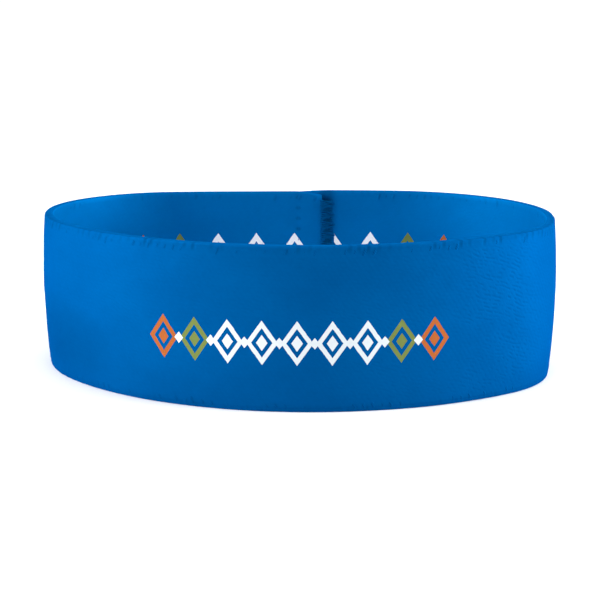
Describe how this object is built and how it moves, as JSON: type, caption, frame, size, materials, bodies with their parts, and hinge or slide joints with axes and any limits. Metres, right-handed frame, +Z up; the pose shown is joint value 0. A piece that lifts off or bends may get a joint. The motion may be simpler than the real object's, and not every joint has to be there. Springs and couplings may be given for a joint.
{
  "type": "elastic bracelet",
  "caption": "Flat woven elastic wristband: a strip bent into an oval loop and sewn where its ends lap, standing on one woven edge.",
  "frame": {"origin": "under the middle of the loop, on the surface that it stands on", "axes": "+Z up across the strip's width, +X along the loop's long way, -Y towards the printed front"},
  "size_m": [0.068, 0.0492, 0.02],
  "materials": {
    "webbing": "blue satin elastic webbing with a flat printed row of motifs"
  },
  "bodies": {
    "root": {"elastic_band": "webbing"}
  },
  "joints": []
}
